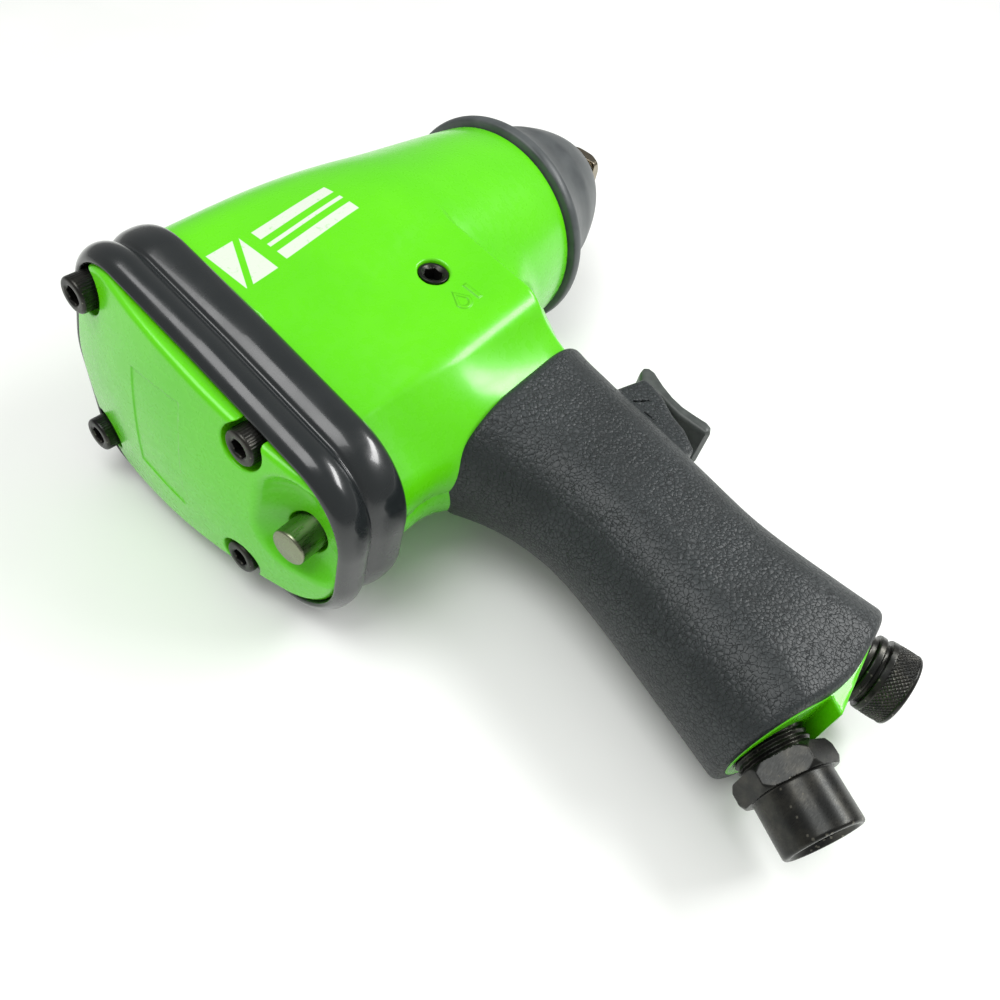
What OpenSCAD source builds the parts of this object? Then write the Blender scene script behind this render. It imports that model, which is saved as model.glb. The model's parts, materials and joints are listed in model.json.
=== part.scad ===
// Pistol-grip air impact wrench with a 1/2 in square drive, as its separate pieces.
// The origin is the centre of the end face of the square drive. +X points out along the
// drive axis, +Z is up, the handle hangs towards -Z and +Y is the tool's left side.
// Everything lies behind the drive, so most X stations are negative.

/* [Drive] */
// Width across the flats of the square drive
drive_size = 12.7; // [12.2:0.1:12.7]
// Length of the square end
drive_length = 15; // [14:0.5:15]
// Radius of the anvil journal in the nose bushing
journal_r = 9.5; // [9.2:0.1:9.6]

/* [Barrel] */
// Radius of the painted barrel at its front rim
barrel_front_r = 29; // [28.5:0.25:30]
// How much wider the barrel is than the rear cover at its back end
barrel_grow = 2.4; // [2.2:0.1:3]
// Radius of the motor bore
motor_bore_r = 25.5; // [25.5:0.1:25.8]
// Radius of the two corners under the flat side slabs
slab_corner_r = 8; // [7:0.5:9]

/* [Rear] */
// Lean of the rear cover, bottom edge backwards, in degrees
rake = 4; // [3:0.5:5]
// Half width of the rear cover at its widest
cover_half_width = 29.5; // [29.3:0.1:30.5]
// Height of the top of the rear cover above the drive axis
cover_top = 32; // [31.5:0.1:33]
// Bulge of the bumper beads outside the cover
bead_bulge = 3.6; // [3.4:0.1:4]
// Radius of the reverse plunger
plunger_r = 5; // [4.8:0.1:5]

/* [Handle] */
// Wall of the rubber grip
grip_wall = 3.2; // [3:0.1:3.4]
// Half width of the grip at the palm
grip_half_width = 17; // [16.5:0.25:17.5]
// Lean of the air inlet, bottom end backwards, in degrees
inlet_lean = 30; // [29:0.5:31]
// Radius of the plain end of the inlet bushing
inlet_r = 8.9; // [8.8:0.05:9]
// Radius of the regulator knob
knob_r = 8.8; // [8.5:0.1:9]
// Width of the trigger
trigger_w = 13; // [12:0.5:14]

/* [Fasteners] */
// Radius of a cover screw's head
head_r = 4.25; // [4.1:0.05:4.3]
// Height of a cover screw's head
head_h = 5; // [4.8:0.1:5]

/* [Hidden] */
$fn = 64;
hull_fn = 32;
// Running clearance between turning and sliding pieces, and the gap round soft pieces
run = 0.04;
soft = 0.1;

// Stations along the drive axis
rim_x = -52.6;
nose_x = -13;
slab_x = -97;
slab_edge_z = -12;
slab_lean = 5;
joint_x = -163;
lip_x = -171.8;
cover_edge_x = -174.4;
dome_x = -176.4;
flange_x = -152.6;
gasket_t = 0.8;
gallery_z = -42;
bushing_end_x = -108;
gallery_front_x = -80;
detent_x = -103.5;
reverse_travel = 6;

// Motor and hammer stations
rear_plate = [-159, -151];
cylinder_span = [-151, -121];
front_plate = [-121, -114];
chamber_front_x = -50;
chamber_r = 25;
cage_r = 24;
bore_offset = 1.95;
cylinder_bore_r = 19.5;
rotor_r = 17.5;
pin_circle = 19;
hammer_pin_r = 2.5;
bushing_r = 12.5;

// Handle points, in the tool's middle plane
trigger_pivot = [-91, -69.5];
stem_z = -83;
stem_r = 2.2;
throttle_bore_r = 4.5;
boss_half_w = 8.4;
inlet_end = [-153.9, -161.6];
knob_end = [-110.4, -161.7];
knob_lean = 4.7;
plug_at = [-113.6, -24];
plug_face_y = -29.4;
plug_r = 3.6;

// ---- Placing helpers ----

// Stands a shape drawn flat in Y and Z on the drive axis; its height runs towards +X.
module at_x(x) {
    translate([x, 0, 0]) rotate([90, 0, 90]) children();
}

// A round bar on the drive axis between two stations.
module bar(from_x, to_x, r) {
    at_x(from_x) cylinder(h = to_x - from_x, r = r);
}

// Leans the rear end backwards about the middle of the joint face.
module raked() {
    translate([joint_x, 0, 0]) rotate([0, rake, 0]) translate([-joint_x, 0, 0]) children();
}

// Stands a shape along the inlet axis: height 0 is the mouth and +Z runs up the handle.
module on_inlet() {
    translate([inlet_end[0], 0, inlet_end[1]]) rotate([0, inlet_lean, 0]) children();
}

// Stands a shape along the regulator axis: height 0 is the knob's end, +Z runs up.
module on_regulator() {
    translate([knob_end[0], 0, knob_end[1]]) rotate([0, -knob_lean, 0]) children();
}

// The four cover screw places; i is 0 for the upper pair and 1 for the lower pair.
screw_yz = [[22.1, 23.8], [19, -28.2]];
seat_x = [-169.8, -168.8];
washer_t = 1;
module each_screw() {
    for (i = [0, 1], side = [-1, 1])
        translate([seat_x[i], side * screw_yz[i][0], screw_yz[i][1]]) children();
}

// ---- Outlines ----

// Circles that bound the upper outline in Y and Z, as [half spacing, height, radius].
crown_r = 22;
shoulder_r = 13;
crown = [0, cover_top - crown_r, crown_r];
shoulder = [cover_half_width - shoulder_r, cover_top - shoulder_r - 1, shoulder_r];
flank = [cover_half_width - crown_r, -5, crown_r];
chin = [4.5, -37.5, 15.5];

module outline_circles(circles, grow) {
    for (c = circles, side = [-1, 1])
        translate([side * c[0], c[1]]) circle(r = c[2] + grow);
}

// Outline of the rear cover: square shoulders, straight flanks and a round chin.
module cover_outline() {
    hull() outline_circles([crown, shoulder, flank, chin], 0);
}

module grown_outline(grow) {
    offset(r = grow) cover_outline();
}

// A prism of the cover outline, between two stations of the raked rear end.
module raked_prism(from_x, to_x, grow) {
    raked() at_x(from_x) linear_extrude(to_x - from_x) grown_outline(grow);
}

// Turns a profile of [radius, x] points about the drive axis.
module turned(profile) {
    rotate([0, 90, 0]) rotate_extrude($fn = 96) polygon(profile);
}

// A flat slice of the handle: a rounded bar from x_front to x_rear at height z.
module handle_slice(z, x_front, x_rear, half_w, t = 0.5) {
    translate([0, 0, z]) for (x = [x_front - half_w, x_rear + half_w])
        translate([x, 0, 0]) cylinder(h = t, r = half_w, $fn = hull_fn);
}

// Handle sections, as [z, front x, rear x, half width] of the rubber outside.
handle_sections = [
    [-54.5, -84.8, -141, grip_half_width + 3],
    [-68, -87.2, -136.5, grip_half_width + 1],
    [-83, -90.2, -135.6, grip_half_width],
    [-115, -97.5, -145.4, grip_half_width],
    [-136, -100.2, -153.6, grip_half_width + 1.2],
    [-158, -100, -163, grip_half_width - 0.4]
];

// The outside of the grip, section by section.
module grip_outside() {
    for (i = [0 : len(handle_sections) - 2]) hull() {
        for (s = [handle_sections[i], handle_sections[i + 1]])
            handle_slice(s[0], s[1], s[2], s[3]);
    }
}

// The casting inside the grip follows fewer sections, so that the sleeve slides on.
core_runs = [[0, 2], [2, 3], [3, 5]];
module handle_core(inset) {
    for (r = core_runs) hull() {
        for (s = [handle_sections[r[0]], handle_sections[r[1]]])
            handle_slice(s[0], s[1] - inset, s[2] + inset, s[3] - inset);
    }
}

// Where the handle's level foot meets its sloping rear part, and how far the casting
// stands out of the grip there.
foot_at = [-131.6, -148.6];
foot_slope = 24;
foot_drop = 2;

// Everything below the foot of the handle, drop millimetres lower.
module below_handle(drop) {
    translate([foot_at[0], -40, foot_at[1] - drop]) {
        rotate([0, foot_slope, 0]) translate([-80, 0, -60]) cube([140, 80, 60]);
        translate([0, 0, -60]) cube([80, 80, 60]);
    }
}

// ---- Housing ----

// Round sections of the barrel, as [x, radius]; the back end takes the cover's shoulders.
barrel_sections = [[rim_x - 0.5, barrel_front_r], [-66, barrel_front_r + 1.9],
                   [-88, barrel_front_r + 4.4], [-102, barrel_front_r + 5.6]];

module barrel_solid() {
    nose = [[0, nose_x], [10.2, nose_x], [14.3, nose_x - 4], [17.5, nose_x - 10],
            [20, nose_x - 19], [23, nose_x - 27], [26.4, rim_x + 4.6], [27.4, rim_x],
            [barrel_front_r, rim_x], [barrel_front_r, rim_x - 1], [0, rim_x - 1]];
    turned(nose);
    hull() {
        for (b = barrel_sections) at_x(b[0]) cylinder(h = 0.5, r = b[1], $fn = 96);
        raked() at_x(flange_x) linear_extrude(0.5)
            outline_circles([crown, shoulder, flank], barrel_grow);
    }
}

// The flat side slabs: their planes leave the barrel and run down to two round corners,
// which climb and close in towards the rear cover.
slab_half_w = 30.5;
slab_corner_z = -40.5;
keel_corner = [15.5, -35.5, 4.4];
keel_foot = [3, -45, 8];

module keel() {
    difference() {
        hull() {
            raked() at_x(flange_x) linear_extrude(0.5)
                outline_circles([flank, keel_corner, keel_foot], barrel_grow - 0.8);
            at_x(slab_x - 0.5) linear_extrude(0.5) {
                circle(r = barrel_front_r + 4.2, $fn = 96);
                outline_circles([[slab_half_w - slab_corner_r, slab_corner_z, slab_corner_r]], 0);
            }
        }
        // The front edge leans back towards the handle
        translate([slab_x, -60, slab_edge_z]) rotate([0, slab_lean, 0])
            translate([0, 0, -80]) cube([60, 120, 80]);
    }
}

// The neck between the keel and the grip; gap is the room that the grip leaves round it.
module neck(gap) {
    hull() {
        handle_slice(-40, -88 + gap, -147 - gap, 16 + gap, 1);
        handle_slice(-58 - gap, -91 + gap, -138 - gap, 15.5 + gap, 0.6);
    }
}

// Ears and throttle block behind the trigger, as a side outline in X and Z.
module trigger_boss(half_width, gap) {
    rotate([90, 0, 0]) translate([0, 0, -half_width]) linear_extrude(2 * half_width)
        polygon([[-110, -89 - gap], [-93.4 + gap, -89 - gap], [-89.2 + gap, -72],
                 [-89.2 + gap, -64 + gap], [-110, -64 + gap]]);
}

module housing_body() {
    barrel_solid();
    keel();
    raked_prism(joint_x, flange_x + 0.4, 0);
    neck(0);
    trigger_boss(boss_half_w, 0);
    difference() {
        handle_core(grip_wall);
        below_handle(foot_drop);
    }
}

module housing_bores() {
    // Motor bore, hammer chamber and nose
    bar(joint_x - 5, front_plate[1], motor_bore_r);
    bar(front_plate[1] - 1, chamber_front_x, chamber_r);
    bar(chamber_front_x - 1, nose_x + 1, bushing_r - 2);
    bar(chamber_front_x - 1, nose_x - 3, bushing_r);
    // Reverse gallery, wide for the bushing and narrow at the front
    translate([0, 0, gallery_z]) {
        bar(joint_x - 5, bushing_end_x, 7.5);
        bar(bushing_end_x - 1, gallery_front_x, plunger_r + run);
    }
    // Ports between the gallery and the motor, and from the throttle up to the gallery
    for (x = [-146, -127]) translate([x, 0, gallery_z]) cylinder(h = 20, r = 3);
    translate([-121, 0, stem_z]) cylinder(h = gallery_z - stem_z, r = 3.5);
    // Detent hole from the left side
    translate([detent_x, plunger_r, gallery_z]) rotate([-90, 0, 0])
        cylinder(h = 30, r = 1.65);
    translate([detent_x, 14.5, gallery_z]) rotate([-90, 0, 0]) cylinder(h = 20, r = 2.05);
    // Throttle bore and trigger slot
    translate([0, 0, stem_z]) {
        bar(-126, -80, throttle_bore_r);
        bar(-145, -119, 6);
    }
    translate([-97, -trigger_w / 2 - 0.3, -74]) cube([30, trigger_w + 0.6, 8.5]);
    translate([trigger_pivot[0], -20, trigger_pivot[1]]) rotate([-90, 0, 0])
        cylinder(h = 40, r = 1.5);
    // Inlet thread and the air passage above it
    on_inlet() {
        translate([0, 0, -10]) cylinder(h = 45, r = 8);
        translate([0, 0, -10]) cylinder(h = 28.8, r = 11.8);
        cylinder(h = 84, r = 4);
    }
    // Regulator bore and its cross drilling into the air passage
    on_regulator() {
        translate([0, 0, -10]) cylinder(h = 44, r = 3.5);
        translate([0, 0, -10]) cylinder(h = 20.3, r = knob_r + 0.5);
        cylinder(h = 17, r = 5);
    }
    translate([0, 0, -130.5]) bar(-131, -112, 2.5);
    // Two exhaust passages with a cross gallery at their top
    for (side = [-1, 1]) translate([-126.5, side * 9, -150]) rotate([0, 14, 0])
        cylinder(h = 100, r = 2.8);
    translate([-103.2, -9, -53]) rotate([-90, 0, 0]) cylinder(h = 18, r = 2.6);
    // Oil plug
    translate([plug_at[0], -40, plug_at[1]]) rotate([-90, 0, 0]) {
        cylinder(h = 21, r = plug_r + 0.02);
        cylinder(h = 34, r = 1.5);
    }
    // Tapped holes for the cover screws
    raked() each_screw() at_x(0) cylinder(h = 20, r = 2.5);
}

module motor_housing() {
    color("limegreen") difference() {
        housing_body();
        housing_bores();
    }
}

// ---- Rear end ----

module rear_cover() {
    front = joint_x - gasket_t;
    color("limegreen") difference() {
        union() {
            raked() intersection() {
                union() {
                    at_x(cover_edge_x) linear_extrude(front - cover_edge_x) cover_outline();
                    at_x(dome_x) linear_extrude(cover_edge_x - dome_x) grown_outline(-1.2);
                }
                translate([dome_x + 300, 0, 0]) sphere(r = 300, $fn = 300);
            }
            // Ring that holds the end plate down
            intersection() {
                bar(joint_x - 4, rear_plate[0], motor_bore_r - 0.3);
                raked() translate([joint_x - 6, -40, -40]) cube([20, 80, 80]);
            }
        }
        bar(joint_x - 8, joint_x + 10, 15);
        raked() {
            each_screw() at_x(-20) cylinder(h = 30, r = 2.75);
            each_screw() at_x(-20) cylinder(h = 20, r = 5.6);
        }
        // Scooped pocket and hole for the reverse plunger
        raked() translate([-180.5, 0, gallery_z - 2]) sphere(r = 13);
        translate([0, 0, gallery_z]) bar(dome_x - 5, joint_x + 10, plunger_r + run);
        label_panel();
    }
}

// Shallow panel, wide at the top, sunk in the middle of the cover.
module label_panel() {
    raked() at_x(dome_x - 1) linear_extrude(1.5)
        polygon([[-14, 17], [14, 17], [9, -22], [-9, -22]]);
}

module rear_gasket() {
    color("dimgray") difference() {
        raked() at_x(joint_x - gasket_t) linear_extrude(gasket_t) grown_outline(-1);
        bar(joint_x - 5, joint_x + 5, motor_bore_r);
        translate([0, 0, gallery_z]) bar(joint_x - 12, joint_x + 5, 7.5);
        raked() each_screw() at_x(-5) cylinder(h = 15, r = 2.75);
    }
}

module rear_bumper() {
    groove = 2.4;
    lip_w = 1.8;
    bead_w = 7;
    color("black") difference() {
        union() {
            raked_prism(lip_x, flange_x, bead_bulge - groove);
            raked_prism(lip_x + lip_w, lip_x + lip_w + bead_w, bead_bulge);
            raked_prism(flange_x - bead_w, flange_x, bead_bulge);
        }
        raked_prism(lip_x - 1, flange_x + 1, soft);
    }
}

module cover_screws() {
    shank = 19;
    color("dimgray") raked() each_screw() {
        at_x(-washer_t - head_h) difference() {
            cylinder(h = head_h, r = head_r);
            translate([0, 0, -1]) cylinder(h = 3.6, r = 2.3, $fn = 6);
        }
        at_x(-washer_t) cylinder(h = shank, r = 2.45);
    }
}

module cover_washers() {
    color("gray") raked() each_screw() at_x(-washer_t) difference() {
        cylinder(h = washer_t, r = 4.1);
        translate([0, 0, -1]) cylinder(h = 4, r = 2.55);
        // Split of the spring washer
        translate([0, -0.4, -1]) cube([6, 0.8, 4]);
    }
}

// ---- Motor ----

module end_plate(span, bearing_r, bearing_from, bearing_to, bore_r) {
    difference() {
        bar(span[0], span[1], motor_bore_r - 0.05);
        bar(span[0] - 1, span[1] + 1, bore_r);
        bar(bearing_from, bearing_to, bearing_r);
        translate([0, 0, 21.4]) bar(span[0] - 1, span[1] + 1, 1.5);
    }
}

module rear_end_plate() {
    color("silver") end_plate(rear_plate, 11, rear_plate[0] - 1, rear_plate[0] + 6, 7);
}

module rear_bearing() {
    color("lightgray") difference() {
        bar(rear_plate[0], rear_plate[0] + 6, 11);
        bar(rear_plate[0] - 1, rear_plate[0] + 7, 4 + run);
    }
}

module front_end_plate() {
    color("silver") end_plate(front_plate, 12, front_plate[1] - 6, front_plate[1] + 1, 8);
}

module front_bearing() {
    color("lightgray") difference() {
        bar(front_plate[1] - 6, front_plate[1], 12);
        bar(front_plate[1] - 7, front_plate[1] + 1, 6 + run);
    }
}

module motor_cylinder() {
    color("gray") difference() {
        bar(cylinder_span[0], cylinder_span[1], motor_bore_r - 0.05);
        translate([0, 0, -bore_offset])
            bar(cylinder_span[0] - 1, cylinder_span[1] + 1, cylinder_bore_r);
        translate([0, 0, 21.4]) bar(cylinder_span[0] - 1, cylinder_span[1] + 1, 1.5);
        // Air ports through both flanks and the bottom
        for (x = [-143, -136, -129], a = [90, 270]) translate([x, 0, 0]) rotate([a, 0, 0])
            cylinder(h = 40, r = 2.2);
        for (x = [-146, -127]) translate([x, 0, -30]) cylinder(h = 20, r = 3);
    }
}

module cylinder_pin() {
    color("silver") translate([0, 0, 21.4])
        bar(rear_plate[0] + 1, front_plate[1] - 1, 1.45);
}

vane_t = 2.2;
vane_depth = 8.3;
module rotor() {
    color("silver") difference() {
        union() {
            bar(cylinder_span[0] + 0.1, cylinder_span[1] - 0.1, rotor_r);
            bar(rear_plate[0] + 0.4, cylinder_span[0] + 1, 4);
            bar(cylinder_span[1] - 1, front_plate[1] + 0.5, 6);
            spline(front_plate[1] + 0.4, -104.5, 0);
        }
        for (i = [0 : 5]) rotate([60 * i + 30, 0, 0])
            translate([-160, -vane_t / 2 - 0.03, rotor_r - vane_depth - 0.4])
                cube([60, vane_t + 0.06, 12]);
    }
}

// Six-tooth spline between two stations; grow makes the matching hole.
module spline(from_x, to_x, grow) {
    bar(from_x, to_x, 4.6 + grow);
    for (i = [0 : 2]) rotate([60 * i, 0, 0])
        translate([from_x, -1 - grow, -5.8 - grow])
            cube([to_x - from_x, 2 + 2 * grow, 11.6 + 2 * grow]);
}

module rotor_vanes() {
    color("saddlebrown") for (i = [0 : 5]) rotate([60 * i + 30, 0, 0])
        translate([cylinder_span[0] + 0.15, -vane_t / 2, rotor_r - vane_depth - 0.1])
            cube([cylinder_span[1] - cylinder_span[0] - 0.3, vane_t, vane_depth]);
}

// ---- Hammer ----

module hammer_cage() {
    color("dimgray") difference() {
        union() {
            bar(-111.5, -105, cage_r);
            bar(-64, -57.5, cage_r);
            // Two webs tie the discs together at the sides
            intersection() {
                bar(-106, -63, cage_r);
                for (side = [-1, 1]) translate([-106, side > 0 ? 21.2 : -31.2, -9])
                    cube([43, 10, 18]);
            }
        }
        spline(-112, -104, 0.03);
        bar(-65, -57, 11.7 + run);
        for (side = [-1, 1]) translate([0, 0, side * pin_circle])
            bar(-110, -59, hammer_pin_r + 0.01);
    }
}

module hammer_pins() {
    color("silver") for (side = [-1, 1]) translate([0, 0, side * pin_circle])
        bar(-109.8, -59.5, hammer_pin_r);
}

// A ring hammer that rocks on the pin at the top; flip puts its pin at the bottom.
module hammer_dog(from_x, to_x, flip) {
    ring_r = 17.4;
    hole_r = 13.4;
    rotate([flip, 0, 0]) difference() {
        union() {
            bar(from_x, to_x, ring_r);
            translate([0, 0, pin_circle]) bar(from_x, to_x, 4.4);
        }
        difference() {
            bar(from_x - 1, to_x + 1, hole_r);
            // Striking keys inside the ring
            for (side = [-1, 1]) translate([from_x - 1, side > 0 ? 11 : -15, -3.5])
                cube([to_x - from_x + 2, 4, 7]);
        }
        translate([0, 0, pin_circle]) bar(from_x - 1, to_x + 1, hammer_pin_r + run);
        // Relief so that the ring clears the other pin when it rocks
        translate([from_x - 1, -7, -25]) cube([to_x - from_x + 2, 14, 9.2]);
    }
}

module hammer_dog_rear() {
    color("slategray") hammer_dog(-104.6, -85.5, 0);
}

module hammer_dog_front() {
    color("slategray") hammer_dog(-84.5, -64.4, 180);
}

module anvil() {
    color("lightslategray") difference() {
        union() {
            intersection() {
                translate([-drive_length, -drive_size / 2, -drive_size / 2])
                    cube([drive_length, drive_size, drive_size]);
                turned([[0, -drive_length - 1], [8.4, -drive_length - 1], [8.4, -1.4],
                        [7, 0], [0, 0]]);
            }
            bar(chamber_front_x - 1, -drive_length + 1, journal_r);
            bar(-56.5, chamber_front_x - 0.1, 14);
            bar(-64.2, -56.4, 11.7);
            bar(-103.8, -64, 8.6);
            // Two striking lobes
            intersection() {
                bar(-103.8, -65, 11.2);
                for (side = [-1, 1]) translate([-104, -5, side > 0 ? 6 : -16])
                    cube([40, 10, 10]);
            }
        }
        // Grooves for the retainer ring and the O-ring
        difference() {
            bar(-5.6, -3.8, 12);
            bar(-6, -3, 5.5);
        }
        difference() {
            bar(-18.4, -16.2, 12);
            bar(-19, -16, 8.2);
        }
    }
}

module ring(from_x, to_x, outer_r, inner_r) {
    difference() {
        bar(from_x, to_x, outer_r);
        bar(from_x - 1, to_x + 1, inner_r);
    }
}

module socket_retainer_ring() {
    color("silver") difference() {
        ring(-5.5, -3.9, 7, 5.6);
        translate([-7, -0.8, 4]) cube([4, 1.6, 6]);
    }
}

module anvil_o_ring() {
    color("black") ring(-18.3, -16.3, 9.45, 8.25);
}

module anvil_bushing() {
    color("peru") ring(chamber_front_x + 0.1, nose_x - 3.1, bushing_r, journal_r + run);
}

module nose_boot() {
    boot = [[10.6, -10.6], [12.4, -10.9], [15.8, -14.5], [18.4, -19.5], [20.4, -25.5],
            [22.3, -32.5], [25.4, -40.2], [28.2, -46.2], [30.6, -47.8], [31.2, -50],
            [30.6, rim_x + 0.3], [27.5 + soft, rim_x + 0.3], [26.5 + soft, rim_x + 4.7],
            [23 + soft, nose_x - 26.8], [20 + soft, nose_x - 18.8],
            [17.5 + soft, nose_x - 9.8], [14.3 + soft, nose_x - 3.8],
            [10.3 + soft, nose_x + soft]];
    color("darkslategray") turned(boot);
}

// ---- Reversing ----

plunger_rear_x = -177.1;
plunger_front_x = -98.8;
plunger_grooves = [-152, -134, -113];
module reverse_plunger() {
    color("lightgray") translate([0, 0, gallery_z]) difference() {
        turned([[0, plunger_rear_x], [3.8, plunger_rear_x], [4.4, plunger_rear_x + 0.6],
                [4.4, -167.8], [plunger_r, -167], [plunger_r, plunger_front_x - 0.8], [4.2, plunger_front_x],
                [0, plunger_front_x]]);
        for (x = plunger_grooves) ring(x, x + 2.2, 8, 3.8);
        for (x = [-147, -127]) ring(x, x + 9, 8, 3.2);
        // Two detent grooves, one for each direction
        for (x = [detent_x, detent_x - reverse_travel]) ring(x - 0.8, x + 0.8, 8, 4.3);
    }
}

module plunger_o_rings() {
    color("black") translate([0, 0, gallery_z]) for (x = plunger_grooves)
        ring(x + 0.1, x + 2.1, plunger_r - 0.02, 3.85);
}

module reverse_bushing() {
    color("goldenrod") translate([0, 0, gallery_z]) difference() {
        ring(-158, bushing_end_x - 0.1, 7.45, plunger_r + run);
        for (x = [-146, -127]) translate([x, 0, 0]) cylinder(h = 20, r = 2.6);
        for (x = [-138, -121]) translate([x, 0, -20]) cylinder(h = 20, r = 2.6);
    }
}

module detent_ball() {
    color("silver") translate([detent_x, plunger_r + 1.65, gallery_z]) sphere(r = 1.55);
}

module detent_spring() {
    color("silver") translate([detent_x, plunger_r + 3.4, gallery_z]) rotate([-90, 0, 0])
        spring_column(1.35, 0.28, 5.6, 5);
}

// A compression spring as a stack of flat turns linked by a thin seam.
module spring_column(r, wire_r, length, turns) {
    pitch = (length - 2 * wire_r) / turns;
    for (i = [0 : turns]) translate([0, 0, wire_r + i * pitch])
        rotate_extrude($fn = 32) translate([r - wire_r, 0]) circle(r = wire_r, $fn = 16);
    for (i = [0 : turns - 1]) rotate([0, 0, 180 * i])
        translate([r - wire_r, 0, wire_r + i * pitch])
            cylinder(h = pitch, r = wire_r * 0.7, $fn = 16);
}

module detent_screw() {
    color("dimgray") translate([detent_x, 14.6, gallery_z]) rotate([-90, 0, 0]) difference() {
        cylinder(h = 5, r = 2);
        translate([0, 0, 3]) cylinder(h = 3, r = 1, $fn = 6);
    }
}

// ---- Throttle ----

module trigger() {
    // Side view: a concave finger plate with an arm back to the pivot
    plate = [[-76, -68], [-74.4, -68.3], [-73.6, -69.6], [-75.8, -75], [-77.8, -79.8],
             [-78.7, -84], [-78.7, -89], [-79.4, -92.2], [-81.8, -92.8], [-84, -92.2],
             [-83.6, -84], [-82.4, -78.4], [-81.4, -72.9], [-94.4, -72.9], [-94.4, -66.2],
             [-88, -66.2], [-79.5, -67.4]];
    color("dimgray") difference() {
        rotate([90, 0, 0]) translate([0, 0, -trigger_w / 2])
            linear_extrude(trigger_w) polygon(plate);
        translate([trigger_pivot[0], -20, trigger_pivot[1]]) rotate([-90, 0, 0])
            cylinder(h = 40, r = 1.5 + run);
    }
}

module trigger_pin() {
    color("silver") translate([trigger_pivot[0], -8.2, trigger_pivot[1]])
        rotate([-90, 0, 0]) cylinder(h = 16.4, r = 1.48);
}

module throttle_stem() {
    color("silver") translate([0, 0, stem_z]) {
        bar(-118, -86.6, stem_r);
        bar(-119.4, -117.4, 3.4);
    }
}

module throttle_bushing() {
    color("goldenrod") translate([0, 0, stem_z]) ring(-117, -92, 4.4, stem_r + run);
}

module throttle_valve() {
    color("black") translate([0, 0, stem_z]) ring(-117.3, -117.05, 4, stem_r + 0.02);
}

module throttle_spring() {
    color("silver") translate([-119.6, 0, stem_z]) rotate([0, -90, 0])
        spring_column(3.4, 0.45, 8, 5);
}

module throttle_plug() {
    color("dimgray") translate([0, 0, stem_z]) bar(-130.8, -127.8, 5.95);
}

module air_inlet() {
    mouth_r = 6.58;
    color("dimgray") on_inlet() difference() {
        union() {
            cylinder(h = 1, r1 = inlet_r - 1, r2 = inlet_r);
            translate([0, 0, 1]) cylinder(h = 12.2, r = inlet_r);
            translate([0, 0, 13]) intersection() {
                cylinder(h = 5.6, r = 11.6, $fn = 6);
                cylinder(h = 5.6, r = 11.2);
            }
            translate([0, 0, 18]) cylinder(h = 15, r = 7.95);
        }
        translate([0, 0, -1]) cylinder(h = 14, r = mouth_r);
        cylinder(h = 40, r = 4.6);
    }
}

module inlet_seal() {
    color("black") on_inlet() translate([0, 0, 33.1]) difference() {
        cylinder(h = 1.4, r = 7.8);
        translate([0, 0, -1]) cylinder(h = 4, r = 5);
    }
}

module inlet_screen() {
    color("silver") on_inlet() translate([0, 0, 14]) difference() {
        cylinder(h = 12, r = 4.5);
        translate([0, 0, -1]) cylinder(h = 12.4, r = 3.9);
        for (i = [0 : 1], z = [2.5, 6, 9.5]) translate([0, 0, z + i]) rotate([0, 90, 90 * i + 45])
            translate([0, 0, -6]) cylinder(h = 12, r = 0.8, $fn = 16);
    }
}

module regulator_knob() {
    color("dimgray") on_regulator() difference() {
        union() {
            cylinder(h = 0.8, r1 = knob_r - 0.8, r2 = knob_r);
            translate([0, 0, 0.8]) cylinder(h = 6, r = knob_r);
            translate([0, 0, 6.7]) cylinder(h = 1.2, r = knob_r - 1.4);
            translate([0, 0, 7.8]) cylinder(h = 2.2, r = knob_r - 0.4);
            translate([0, 0, 9]) cylinder(h = 16, r = 3.45);
            translate([0, 0, 25]) cylinder(h = 6, r1 = 3, r2 = 1);
        }
        translate([0, 0, 20.5]) difference() {
            cylinder(h = 2, r = 5);
            translate([0, 0, -1]) cylinder(h = 4, r = 2.4);
        }
    }
}

module regulator_o_ring() {
    color("black") on_regulator() translate([0, 0, 20.6]) difference() {
        cylinder(h = 1.8, r = 3.42);
        translate([0, 0, -1]) cylinder(h = 4, r = 2.45);
    }
}

module regulator_retainer() {
    color("silver") on_regulator() translate([0, 0, 15.2]) difference() {
        cylinder(h = 1.2, r = 4.9);
        translate([0, 0, -1]) cylinder(h = 4, r = 3.5);
    }
}

module exhaust_mufflers() {
    color("peru") for (side = [-1, 1]) translate([-126.5, side * 9, -150])
        rotate([0, 14, 0]) translate([0, 0, 5]) cylinder(h = 10, r = 2.75);
}

module oil_plug() {
    color("black") translate([plug_at[0], plug_face_y, plug_at[1]]) rotate([-90, 0, 0])
        difference() {
            cylinder(h = 7, r = plug_r);
            translate([0, 0, -1]) cylinder(h = 5, r = 2.3, $fn = 6);
        }
}

// ---- Grip ----

module grip_sleeve() {
    color("dimgray") difference() {
        union() {
            grip_outside();
            collar();
        }
        handle_core(grip_wall - soft);
        below_handle(0);
        trigger_boss(boss_half_w + soft, soft);
        translate([-100, -trigger_w / 2 - 0.4, -74.2]) cube([30, trigger_w + 0.8, 9]);
        translate([0, 0, stem_z]) bar(-100, -80, throttle_bore_r + soft);
        neck(soft);
    }
}

// Collar round the trigger boss; its front face leans with the handle.
module collar() {
    rotate([90, 0, 0]) translate([0, 0, -10.2]) linear_extrude(20.4)
        polygon([[-109, -91], [-91.9, -91], [-87.2, -72], [-87, -62.5], [-109, -62.5]]);
}

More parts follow.
